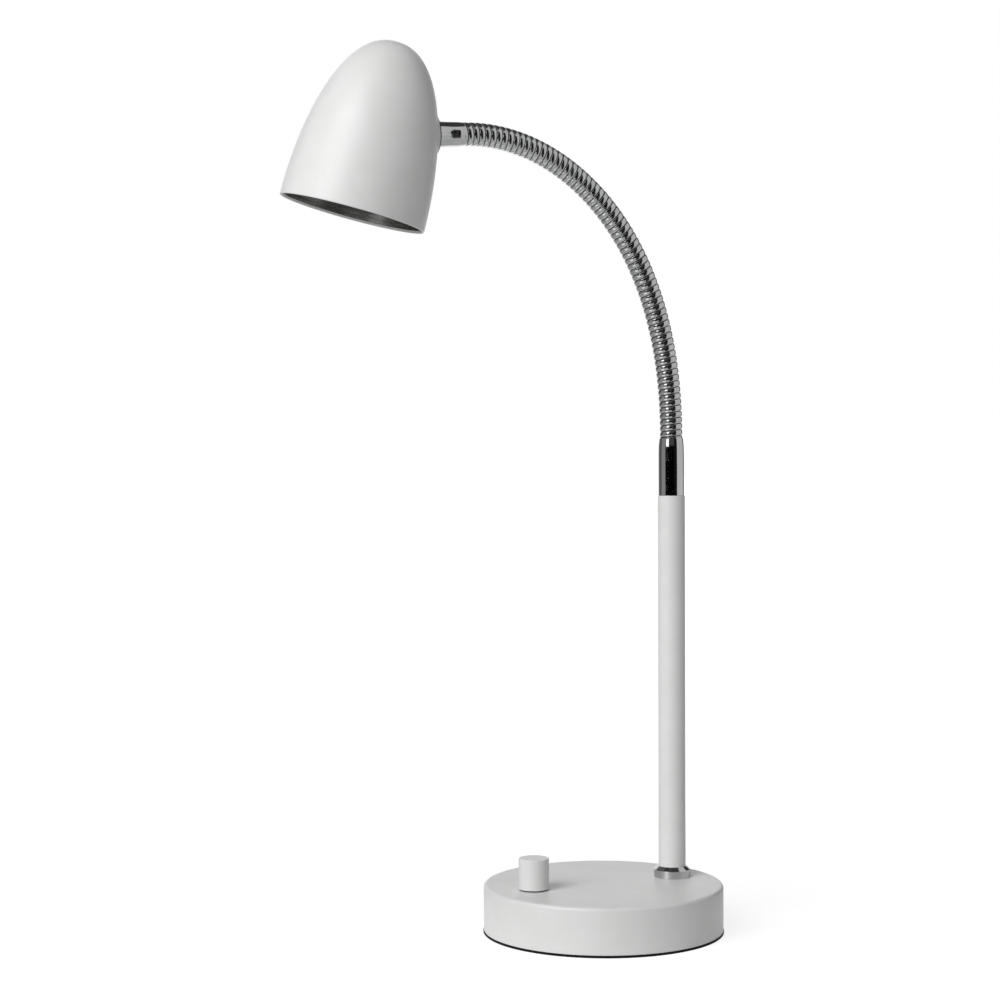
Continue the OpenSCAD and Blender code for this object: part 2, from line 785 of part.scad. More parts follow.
// Turned aluminium bowl round the bulb
module reflector() {
    low_r = outline_r(shade_r - shade_wall, shade_l - shade_wall, reflector_lift) - 0.3;
    top_r = reflector_top_d / 2;
    bowl = [for (t = [0:0.125:1]) [top_r + (low_r - top_r) * sqrt(1 - t * t), t * reflector_h]];
    inside = [for (i = [len(bowl) - 1:-1:0]) bowl[i] - [reflector_wall, i == 0 ? 0 : reflector_wall * 0.5]];
    color("silver") on_shade() translate([0, 0, reflector_lift]) difference() {
        union() {
            rotate_extrude() polygon(concat(bowl, inside));
            translate([0, 0, reflector_h - 0.4]) ring(top_r + 0.6, bulb_d / 2 + 1.2, 0.6);
        }
    }
}

// Steel strap clamped on the seat, with an arm over the lamp holder
module holder_bracket() {
    color("silver") on_shade() difference() {
        rotate([90, 0, 0]) linear_extrude(bracket_w, center = true) polygon([
            behind_seat(seat_t, bracket_foot_z), behind_seat(seat_t, bracket_z + bracket_t),
            [-holder_d / 2, bracket_z + bracket_t], [-holder_d / 2, bracket_z],
            behind_seat(seat_t + bracket_t, bracket_z),
            behind_seat(seat_t + bracket_t, bracket_foot_z - bracket_t * sin(seat_angle))]);
        on_seat() translate([0, 0, -seat_t - 3]) cylinder(r = seat_hole_r, h = 4);
        for (x = [-holder_screw_x, holder_screw_x]) translate([x, 0, bracket_z - 1])
            cylinder(r = 1.5 + 0.1, h = bracket_t + 2);
    }
}

module holder_screws() {
    color("silver") on_shade() for (x = [-holder_screw_x, holder_screw_x])
        translate([x, 0, bracket_z]) {
            translate([0, 0, bracket_t]) cylinder(d = 5.4, h = 1.6);
            translate([0, 0, -6]) cylinder(d = 3, h = 7.1);
        }
}

module lamp_holder() {
    color([0.93, 0.92, 0.88]) on_shade() translate([0, 0, holder_z]) difference() {
        rotate_extrude() rounded_profile(holder_d / 2, holder_h, 1);
        translate([-bulb_d / 2 - 0.2, -2.2, -1]) cube([bulb_d + 0.4, 4.4, socket_depth + 1]);
        for (x = [-holder_screw_x, holder_screw_x]) translate([x, 0, holder_h - 6.5])
            cylinder(d = 3, h = 7);
        for (y = [-lead_hole_y, lead_hole_y]) translate([holder_d / 2 - 4, y, lead_hole_z])
            rotate([0, 90, 0]) cylinder(d = lead_d + 0.8, h = 5);
    }
}

// Glass capsule with a pinched foot
module bulb_glass() {
    r = bulb_d / 2;
    pinch_h = 6;
    color([0.9, 0.95, 1, 0.4]) on_shade() translate([0, 0, bulb_bottom_z]) {
        rotate_extrude() {
            translate([0, r]) square([r, bulb_l - 2 * r]);
            intersection() {
                translate([0, r]) circle(r);
                square([r, r]);
            }
            translate([0, bulb_l - r]) square([r, r - 1.5]);
        }
        translate([-r + 0.3, -2, bulb_l - 2]) cube([bulb_d - 0.6, 4, pinch_h + 2]);
    }
}

module bulb_pins() {
    color("silver") on_shade() for (x = [-4.5, 4.5])
        translate([x, 0, holder_z + 6]) cylinder(d = 1.2, h = 2.6);
}

// Two single leads from the hollow thread to the lamp holder
module shade_leads() {
    out = thread_l - washer_t - 2 * seat_play + 0.3;
    start = [seat_radius, 0, seat_height] - [cos(seat_angle), 0, sin(seat_angle)] * out;
    end = [holder_d / 2 - 3, 0, holder_z + lead_hole_z];
    color([0.85, 0.85, 0.8]) on_shade() for (side = [-1, 1]) {
        near = [0, side * (lead_d / 2 + 0.15), 0];
        far = [0, side * lead_hole_y, 0];
        wire(soften(soften([start + near, start + near + [-3, 0, -1], start + far + [-8, 0, -1],
            end + far + [7, 0, 0], end + far])), lead_d / 2);
    }
}

// ---- Assembly ----

base_shell();
base_plate();
base_pad();
plate_screws();
ballast();
inlet_bush();
terminal_block();
dimmer_board();
dimmer_pot();
dimmer_choke();
dimmer_capacitor();
dimmer_triac();
dimmer_washer();
dimmer_nut();
dimmer_leads();
dimmer_shaft();
knob();
pole();
pole_collar();
pole_bush();
pole_stud();
stud_washer();
stud_nut();
lower_ferrule();
neck_root();
pole_flex();
for (k = link_numbers) {
    neck_link(k);
    neck_flex(k);
}
neck_tip();
upper_ferrule();
tip_flex();
shade_nut();
friction_washer();
shade();
shade_washer();
reflector();
holder_bracket();
holder_screws();
lamp_holder();
bulb_glass();
bulb_pins();
shade_leads();
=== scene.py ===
import json
import math

import bmesh
import bpy
from mathutils import Matrix, Vector


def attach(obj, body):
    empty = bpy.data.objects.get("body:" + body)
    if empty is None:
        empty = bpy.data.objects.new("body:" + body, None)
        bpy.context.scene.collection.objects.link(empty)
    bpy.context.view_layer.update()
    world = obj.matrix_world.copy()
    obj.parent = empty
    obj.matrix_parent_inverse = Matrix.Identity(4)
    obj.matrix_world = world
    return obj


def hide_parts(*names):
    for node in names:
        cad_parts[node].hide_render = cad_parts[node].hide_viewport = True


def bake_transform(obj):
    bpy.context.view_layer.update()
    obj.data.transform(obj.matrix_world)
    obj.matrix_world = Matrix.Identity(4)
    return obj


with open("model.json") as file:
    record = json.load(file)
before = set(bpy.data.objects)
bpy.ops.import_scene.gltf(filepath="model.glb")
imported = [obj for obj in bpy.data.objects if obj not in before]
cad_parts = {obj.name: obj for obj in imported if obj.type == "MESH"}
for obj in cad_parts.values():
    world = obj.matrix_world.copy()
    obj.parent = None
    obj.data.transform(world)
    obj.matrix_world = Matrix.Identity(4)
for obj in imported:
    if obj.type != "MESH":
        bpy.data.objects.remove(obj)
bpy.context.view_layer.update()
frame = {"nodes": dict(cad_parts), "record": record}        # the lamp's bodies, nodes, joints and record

mm = 0.001
slotOf = {part["node"]: part["material_slot"] for part in frame["record"]["subparts"]}


# Sizes in the dictionaries are millimetres and angles are degrees

def addNode(tree, kind, inputs=None, **settings):
    made = tree.nodes.new(kind)
    for key, value in settings.items():
        setattr(made, key, value)
    for key, value in (inputs or {}).items():
        if isinstance(value, bpy.types.NodeSocket):
            tree.links.new(value, made.inputs[key])
        else:
            made.inputs[key].default_value = value
    return made


def calc(tree, operation, *values):
    return addNode(tree, "ShaderNodeMath", dict(enumerate(values)), operation=operation).outputs[0]


def vectorCalc(tree, operation, *values):
    made = addNode(tree, "ShaderNodeVectorMath", dict(enumerate(values)), operation=operation)
    return made.outputs["Value" if operation in ("DOT_PRODUCT", "LENGTH") else "Vector"]


# Tones and roughness drift between two values, and relief is a row of (grain size, height)

finishes = {
    "white_enamel": {
        "tones": ((0.822, 0.822, 0.815), (0.85, 0.85, 0.845)), "toneSize": 18,
        "rough": (0.36, 0.46), "roughSize": 2.2,
        "relief": ((1.1, 0.006), (0.28, 0.0012)),
        "sockets": {"IOR": 1.5},
    },
    "chrome": {
        "tones": ((0.54, 0.545, 0.55), (0.6, 0.603, 0.606)), "toneSize": 6,
        "rough": (0.045, 0.11), "roughSize": 0.9, "stretch": (1, 1, 0.12),
        "relief": ((4, 0.004), (0.35, 0.0004)),
        "sockets": {"Metallic": 1},
    },
    "wound_chrome": {
        "tones": ((0.5, 0.505, 0.51), (0.6, 0.603, 0.606)), "toneSize": 1.6,
        "rough": (0.07, 0.17), "roughSize": 0.35, "space": "wound", "stretch": (0.08, 1, 1),
        "relief": ((0.5, 0.002), (0.12, 0.0006)),
        "sockets": {"Metallic": 1},
    },
    # near-black core: painted shade deep in the grooves between the turns, and partly the darker inner wire
    "dark_core": {
        "tones": ((0.02, 0.02, 0.02), (0.06, 0.055, 0.05)), "toneSize": 1.5,
        "rough": (0.35, 0.6), "roughSize": 0.8,
        "relief": ((0.6, 0.02),),
        "sockets": {"Metallic": 1},
    },
    "plate_zinc": {
        "tones": ((0.5, 0.5, 0.48), (0.66, 0.66, 0.65)), "toneSize": 3,
        "rough": (0.25, 0.42), "roughSize": 1.2,
        "relief": ((0.7, 0.004), (0.2, 0.001)),
        "sockets": {"Metallic": 1},
    },
    "black_rubber": {
        "tones": ((0.004, 0.004, 0.004), (0.012, 0.012, 0.011)), "toneSize": 2,
        "rough": (0.6, 0.85), "roughSize": 0.6,
        "relief": ((0.4, 0.02),),
        "sockets": {"IOR": 1.45, "Specular IOR Level": 0.12},
    },
    "cast_iron": {
        "tones": ((0.03, 0.029, 0.028), (0.085, 0.08, 0.076)), "toneSize": 2.5,
        "rough": (0.5, 0.8), "roughSize": 1,
        "relief": ((1.6, 0.12), (0.4, 0.03)),
        "sockets": {"Metallic": 0.7},
    },
    "ivory_plastic": {
        "tones": ((0.72, 0.69, 0.58), (0.8, 0.77, 0.67)), "toneSize": 8,
        "rough": (0.35, 0.5), "roughSize": 0.5,
        "relief": ((0.25, 0.004),),
        "sockets": {"IOR": 1.5},
    },
    "green_board": {
        "tones": ((0.012, 0.11, 0.04), (0.03, 0.2, 0.075)), "toneSize": 1.3, "tracks": 3.2,
        "rough": (0.25, 0.4), "roughSize": 0.6,
        "relief": ((0.8, 0.01),),
        "sockets": {"IOR": 1.5},
    },
    "wound_copper": {
        "tones": ((0.42, 0.16, 0.06), (0.72, 0.34, 0.15)), "toneSize": 0.8,
        "rough": (0.2, 0.35), "roughSize": 0.5,
        "relief": ((0.5, 0.1),),
        "sockets": {"Metallic": 1},
    },
    "yellow_film": {
        "tones": ((0.72, 0.46, 0.03), (0.83, 0.56, 0.06)), "toneSize": 4,
        "rough": (0.25, 0.4), "roughSize": 1,
        "relief": ((1.5, 0.02),),
        "sockets": {"IOR": 1.5},
    },
    "black_plastic": {
        "tones": ((0.016, 0.016, 0.016), (0.035, 0.035, 0.034)), "toneSize": 3,
        "rough": (0.35, 0.55), "roughSize": 0.5,
        "relief": ((0.3, 0.008),),
        "sockets": {"IOR": 1.5},
    },
    "blue_insulation": {
        "tones": ((0.02, 0.05, 0.3), (0.035, 0.08, 0.42)), "toneSize": 5,
        "rough": (0.35, 0.5), "roughSize": 1,
        "relief": ((1, 0.01),),
        "sockets": {"IOR": 1.5},
    },
    "brass": {
        "tones": ((0.62, 0.42, 0.14), (0.78, 0.56, 0.22)), "toneSize": 3,
        "rough": (0.18, 0.34), "roughSize": 0.8,
        "relief": ((0.5, 0.004),),
        "sockets": {"Metallic": 1},
    },
    "clear_flex": {
        "tones": ((0.6, 0.58, 0.52), (0.75, 0.74, 0.7)), "toneSize": 2,
        "rough": (0.25, 0.4), "roughSize": 1,
        "relief": ((0.8, 0.02),),
        "sockets": {"IOR": 1.5, "Transmission Weight": 0.35},
    },
    # tones darker than bare aluminium: painted shade and painted dark reflection inside the lampshade
    "spun_aluminium": {
        "tones": ((0.24, 0.237, 0.23), (0.44, 0.435, 0.425)), "toneSize": 0.6,
        "rough": (0.2, 0.34), "roughSize": 0.4, "space": "spun", "stretch": (0.03, 1, 1),
        "relief": ((0.5, 0.004), (0.16, 0.001)),
        "sockets": {"Metallic": 1},
    },
    "ceramic": {
        "tones": ((0.7, 0.68, 0.63), (0.8, 0.785, 0.74)), "toneSize": 5,
        "rough": (0.3, 0.55), "roughSize": 0.8,
        "relief": ((0.7, 0.03), (0.2, 0.006)),
        "sockets": {"IOR": 1.55},
    },
    "bulb_glass": {
        "tones": ((0.94, 0.955, 0.95), (0.99, 0.99, 0.99)), "toneSize": 9,
        "rough": (0.01, 0.04), "roughSize": 3,
        "relief": ((6, 0.02),),
        "sockets": {"IOR": 1.46, "Transmission Weight": 1},
    },
    "tungsten": {
        "tones": ((0.2, 0.19, 0.18), (0.36, 0.35, 0.33)), "toneSize": 0.5,
        "rough": (0.3, 0.5), "roughSize": 0.2,
        "relief": ((0.1, 0.004),),
        "sockets": {"Metallic": 1},
    },
}


noiseRange = (0.36, 0.64)          # nearly all of a noise texture's values lie in it


def makeFinish(name, look):
    material = bpy.data.materials.new(name)
    material.use_nodes = True
    tree = material.node_tree
    shader = tree.nodes["Principled BSDF"]
    space = look.get("space")
    if space == "spun":            # round the axis and along the turned profile
        coords = addNode(tree, "ShaderNodeUVMap", uv_map="spun").outputs["UV"]
    elif space == "wound":         # along the wire and across it
        coords = addNode(tree, "ShaderNodeAttribute", attribute_name="wound").outputs["Vector"]
    else:
        coords = addNode(tree, "ShaderNodeTexCoord").outputs["Object"]
    coords = addNode(tree, "ShaderNodeMapping", {"Vector": coords, "Scale": look.get("stretch", (1, 1, 1))})

    def grain(size, detail=3):
        return addNode(tree, "ShaderNodeTexNoise", {
            "Vector": coords.outputs[0], "Scale": 1 / (size * mm), "Detail": detail}).outputs["Fac"]

    def spread(factor, low, high):
        return addNode(tree, "ShaderNodeMapRange", {
            "Value": factor, "From Min": noiseRange[0], "From Max": noiseRange[1],
            "To Min": low, "To Max": high}).outputs[0]

    share = spread(grain(look["toneSize"]), 0, 1)
    if "tracks" in look:           # copper runs under the board's lacquer
        runs = addNode(tree, "ShaderNodeTexBrick", {
            "Vector": coords.outputs[0], "Scale": 1 / (look["tracks"] * mm), "Mortar Size": 0.12})
        share = calc(tree, "MULTIPLY", share, runs.outputs["Fac"])
    dark, light = (tuple(tone) + (1,) for tone in look["tones"])
    mix = addNode(tree, "ShaderNodeMix", {0: share, 6: dark, 7: light}, data_type="RGBA")
    tree.links.new(mix.outputs[2], shader.inputs["Base Color"])
    tree.links.new(spread(grain(look["roughSize"]), *look["rough"]), shader.inputs["Roughness"])
    normal = None
    for size, height in look["relief"]:
        bump = addNode(tree, "ShaderNodeBump", {"Height": grain(size, 2), "Distance": height * mm})
        if normal:
            tree.links.new(normal, bump.inputs["Normal"])
        normal = bump.outputs["Normal"]
    tree.links.new(normal, shader.inputs["Normal"])
    for socket, value in look["sockets"].items():
        shader.inputs[socket].default_value = value
    return material


materials = {name: makeFinish(name, look) for name, look in finishes.items()}
print("finishes:", len(materials))


def addPiece(name, mesh, finish):
    piece = bpy.data.objects.new(name, mesh)
    bpy.context.scene.collection.objects.link(piece)
    if not mesh.materials:
        mesh.materials.append(materials[finish])
    return piece


def smooth(mesh, angle=35):
    mesh.shade_smooth()
    mesh.set_sharp_from_angle(angle=math.radians(angle))


def softened(corners, loop=False, steps=5):
    # corners are (radius, height) or (radius, height, fillet), and a fillet becomes an arc with a
    # support point on either side
    points = []
    count = len(corners)
    for i, corner in enumerate(corners):
        here = Vector(corner[:2])
        fillet = corner[2] if len(corner) > 2 else 0
        if not fillet or (not loop and i in (0, count - 1)):
            points.append(here)
            continue
        back = (Vector(corners[i - 1][:2]) - here).normalized()
        ahead = (Vector(corners[(i + 1) % count][:2]) - here).normalized()
        half = back.angle(ahead) / 2
        reach = fillet / math.tan(half)
        centre = here + (back + ahead).normalized() * fillet / math.sin(half)
        spoke = here + back * reach - centre
        turn = spoke.angle_signed(here + ahead * reach - centre)
        margin = min(0.12 * fillet, 0.1)
        points.append(here + back * (reach + margin))
        points += [centre + Matrix.Rotation(-turn * k / steps, 2) @ spoke for k in range(steps + 1)]
        points.append(here + ahead * (reach + margin))
    return points


def turnedMesh(name, corners, at=Matrix.Identity(4), sides=128, loop=False, inward=False):
    # a closed surface turned about Z; without loop its ends lie on the axis
    profile = softened(corners, loop)
    run = [0]
    for a, b in zip(profile, profile[1:]):
        run.append(run[-1] + (b - a).length * mm)
    form = bmesh.new()
    uv = form.loops.layers.uv.new("spun")
    rings = []
    for radius, height in profile:
        count = 1 if radius < 1e-6 else sides
        spokes = [math.tau * k / count for k in range(count)]
        rings.append([form.verts.new((
            radius * mm * math.cos(spoke), radius * mm * math.sin(spoke), height * mm)) for spoke in spokes])
    pairs = list(zip(range(len(rings) - 1), range(1, len(rings))))
    if loop:
        pairs.append((len(rings) - 1, 0))
    girth = max(point.x for point in profile) * math.tau * mm
    for a, b in pairs:
        for k in range(sides):
            ends = [(a, k), (a, k + 1), (b, k + 1), (b, k)]
            if len(rings[a]) == 1:
                ends.pop(1)
            if len(rings[b]) == 1:
                ends.pop(-2 if len(ends) == 4 else -1)
            face = form.faces.new([rings[r][c % len(rings[r])] for r, c in ends])
            for corner, (r, c) in zip(face.loops, ends):
                corner[uv].uv = (c / sides * girth, run[r])
    bmesh.ops.recalc_face_normals(form, faces=form.faces)
    if inward:
        bmesh.ops.reverse_faces(form, faces=form.faces)
    form.transform(at)
    mesh = bpy.data.meshes.new(name)
    form.to_mesh(mesh)
    form.free()
    smooth(mesh)
    return mesh


def joined(name, meshes):
    form = bmesh.new()
    for mesh in meshes:
        form.from_mesh(mesh)
        bpy.data.meshes.remove(mesh)
    mesh = bpy.data.meshes.new(name)
    form.to_mesh(mesh)
    form.free()
    smooth(mesh)
    return mesh


def rod(radius, low, high, at):
    return turnedMesh("rod", [(0, low), (radius, low), (radius, high), (0, high)], at, sides=48)


def drilled(mesh, rods):
    # cuts round holes; the helper objects are removed again
    blank = bpy.data.objects.new("blank", mesh)
    cutter = bpy.data.objects.new("cutter", joined("cutter", rods))
    for helper in (blank, cutter):
        bpy.context.scene.collection.objects.link(helper)
    cut = blank.modifiers.new("cut", "BOOLEAN")
    cut.object = cutter
    cut.operation = "DIFFERENCE"
    cut.solver = "EXACT"
    graph = bpy.context.evaluated_depsgraph_get()
    result = bpy.data.meshes.new_from_object(blank.evaluated_get(graph), depsgraph=graph)
    for helper in (blank, cutter):
        bpy.data.meshes.remove(helper.data)
    result.materials.clear()
    smooth(result)
    return result


def place(x, y, z):
    return Matrix.Translation(Vector((x, y, z)) * mm)


def spin(angle, axis):
    return Matrix.Rotation(math.radians(angle), 4, axis)


# The base with its pad, cord inlet and dimmer knob, and the pole that its casing is drilled for

base = {"radius": 70, "height": 28, "wall": 1.2, "edge": 2, "rim": 1.35, "sides": 256,
        "poleHole": 5.2, "knobHole": 4.2}
padSizes = {"height": 2, "lip": 0.3, "edge": 0.3, "stepPlay": 0.2, "underRim": 0.05}
baseScrews = {"ring": 55, "ballastAngles": (40, -40), "postAngles": (140, 220), "padHole": 4.5,
              "postRadius": 4, "postBore": 2, "postLow": 3.5, "postSink": 0.2}
cordInlet = {"height": 12, "bore": 3.3, "hole": 5, "play": 0.05, "flange": 6.5, "flangeDepth": 1.4,
             "grip": 1.6}
pole = {"x": 46, "radius": 8, "wall": 1.5, "low": base["height"], "high": 254, "edge": 0.35}
knob = {"x": -45, "radius": 8.75, "height": 17.8, "gap": 0.7, "edge": 0.6, "room": 6.75, "roomHeight": 3.1,
        "shaft": 3.01, "shaftTop": 14.8}

r, h, wall = base["radius"], base["height"], base["wall"]
drillLow, drillHigh = h - wall - 2, h + 2        # a drill reaches past both sides of the wall
casing = turnedMesh("shell", [
    (0, h), (r * 0.5, h), (r, h, base["edge"]), (r, base["rim"], 0.25), (r - wall, base["rim"], 0.25),
    (r - wall, h - wall, base["edge"] - wall), (r * 0.5, h - wall), (0, h - wall)], sides=base["sides"])
casing = drilled(casing, [
    rod(base["poleHole"], drillLow, drillHigh, place(pole["x"], 0, 0)),
    rod(base["knobHole"], drillLow, drillHigh, place(knob["x"], 0, 0)),
    rod(cordInlet["hole"], 3, -3, place(0, r - wall / 2, cordInlet["height"]) @ spin(-90, "X"))])


def atScrew(angle):
    return spin(angle, "Z") @ place(baseScrews["ring"], 0, 0)


low, high = baseScrews["postLow"], h - wall + baseScrews["postSink"]
bore, wide = baseScrews["postBore"], baseScrews["postRadius"]
posts = [turnedMesh("post", [
    (bore, low), (wide, low, 0.3), (wide, high), (bore, high)], atScrew(angle), sides=32, loop=True)
    for angle in baseScrews["postAngles"]]
baseCasing = addPiece("base_casing", joined("casing", [casing] + posts), "white_enamel")
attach(baseCasing, "base")
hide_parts("base_shell")

rim, edge = r + padSizes["lip"], padSizes["edge"]
step = r - wall - padSizes["stepPlay"]           # the casing's wall stands on the pad's step
stepHeight = base["rim"] - padSizes["underRim"]
pad = turnedMesh("pad", [
    (0, 0), (rim, 0, edge), (rim, stepHeight, edge), (step, stepHeight), (step, padSizes["height"]),
    (0, padSizes["height"])], sides=base["sides"])
pad = drilled(pad, [
    rod(baseScrews["padHole"], -1, 3, atScrew(angle))
    for angle in baseScrews["ballastAngles"] + baseScrews["postAngles"]])
basePad = addPiece("base_foot_pad", pad, "black_rubber")
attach(basePad, "base")
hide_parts("base_pad")

bore, flange, depth, grip = (cordInlet[key] for key in ("bore", "flange", "flangeDepth", "grip"))
body = cordInlet["hole"] - cordInlet["play"]
inletPlace = place(0, r + cordInlet["play"], cordInlet["height"]) @ spin(-90, "X")
inletBush = addPiece("cord_inlet_bush", turnedMesh("inlet", [
    (bore, depth, 0.5), (flange, depth, 0.6), (flange, 0, 0.15), (body, 0), (body, -grip),
    (flange, -grip, 0.2), (flange, -grip - depth, 0.4), (bore, -grip - depth, 0.3)],
    inletPlace, sides=96, loop=True), "black_rubber")
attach(inletBush, "base")
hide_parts("inlet_bush")

low = h + knob["gap"]
high, roof, shaftTop = (low + knob[key] for key in ("height", "roomHeight", "shaftTop"))
dimmerKnob = addPiece("dimmer_knob", turnedMesh("knob", [
    (0, high), (knob["radius"], high, knob["edge"]), (knob["radius"], low, 0.3), (knob["room"], low, 0.2),
    (knob["room"], roof), (knob["shaft"], roof), (knob["shaft"], shaftTop), (0, shaftTop)],
    place(knob["x"], 0, 0)), "white_enamel")
dimmerKnob.data.materials.append(materials["black_plastic"])
for face in dimmerKnob.data.polygons:        # painted shade: the underside and the recess take the black finish, so the gap under the knob reads dark
    centre = face.center - Vector((knob["x"], 0, 0)) * mm
    inRecess = math.hypot(centre.x, centre.y) < (knob["room"] + 0.2) * mm and face.normal.z < 0.5
    if face.normal.z < -0.5 or inRecess:
        face.material_index = 1
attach(dimmerKnob, "knob")
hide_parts("knob")
print("base, pad, inlet and knob: made")


# The pole with the collar at its foot and the ferrule on top

collar = {"bore": 8.05, "radius": 10.9, "band": 4.5, "cone": 2.1, "coneTop": 8.5}
footFerrule = {"radius": 7.6, "height": 34, "inPole": 12, "bore": 3.5, "socket": 6.72, "socketDepth": 9,
               "spigot": 6.45, "taper": 12, "shoulder": 7.5, "shoulderDown": 4.6, "mouth": 7.04, "rim": 6.9}

atPole = place(pole["x"], 0, 0)
straightPole = addPiece("straight_pole", turnedMesh("pole", [
    (pole["radius"], pole["low"], pole["edge"]), (pole["radius"], pole["high"], pole["edge"]),
    (pole["radius"] - pole["wall"], pole["high"], 0.2), (pole["radius"] - pole["wall"], pole["low"], 0.2)],
    atPole, loop=True), "white_enamel")
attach(straightPole, "base")
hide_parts("pole")

low = pole["low"]
footCollar = addPiece("foot_collar", turnedMesh("collar", [
    (collar["bore"], low), (collar["radius"], low, 0.25), (collar["radius"], low + collar["band"], 0.35),
    (collar["coneTop"], low + collar["band"] + collar["cone"], 0.15),
    (collar["bore"], low + collar["band"] + collar["cone"])], atPole, loop=True), "chrome")
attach(footCollar, "base")
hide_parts("pole_collar")

low, r, spigot = pole["high"], footFerrule["radius"], footFerrule["spigot"]
high = low + footFerrule["height"]
end, socketFloor = low - footFerrule["inPole"], high - footFerrule["socketDepth"]
lowerSleeve = addPiece("lower_ferrule_sleeve", turnedMesh("sleeve", [
    (footFerrule["bore"], end), (spigot, end, 0.3), (spigot, low), (r, low, 0.3),
    (r, high - footFerrule["taper"], 60),
    (footFerrule["shoulder"], high - footFerrule["shoulderDown"], 30),
    (footFerrule["mouth"], high - 0.5, 0.6), (footFerrule["rim"], high, 0.12),
    (footFerrule["socket"], high), (footFerrule["socket"], socketFloor), (footFerrule["bore"], socketFloor)],
    atPole, loop=True), "chrome")
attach(lowerSleeve, "base")
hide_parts("lower_ferrule")
print("pole, collar and lower ferrule: made")


# The flexible neck

neck = {"start": (pole["x"], 0, pole["high"] + footFerrule["height"]), "length": 243, "footBend": 345,
        "tipBend": 95, "joints": 11, "turns": 68, "radius": 6.7, "stripWidth": 3.3, "stripDepth": 1.5,
        "corner": 0.42, "cornerSteps": 3, "crown": 6.5, "core": 5.8, "steps": 48, "lead": 14}


def neckAngle(s):
    sharpen = (1 / neck["tipBend"] - 1 / neck["footBend"]) / (2 * neck["length"])
    return s / neck["footBend"] + s * s * sharpen


def neckPoint(s, steps=60):
    # the centre line, carried on straight past both ends
    inside = min(max(s, 0), neck["length"])
    point = Vector(neck["start"])
    for i in range(steps):
        a = neckAngle(inside * (i + 0.5) / steps)
        point += Vector((-math.sin(a), 0, math.cos(a))) * inside / steps
    a = neckAngle(inside)
    return (point + Vector((-math.sin(a), 0, math.cos(a))) * (s - inside)) * mm


def neckPlace(s):
    return Matrix.Translation(neckPoint(s)) @ Matrix.Rotation(-neckAngle(s), 4, "Y")


lineStep = 0.5          # between the points of a line that wire is wound along


def lineObject(name, points):
    curve = bpy.data.curves.new(name, "CURVE")
    curve.dimensions = "3D"
    line = curve.splines.new("POLY")
    line.points.add(len(points) - 1)
    for spot, point in zip(line.points, points):
        spot.co = (*point, 1)
    made = bpy.data.objects.new(name, curve)
    bpy.context.scene.collection.objects.link(made)
    return made


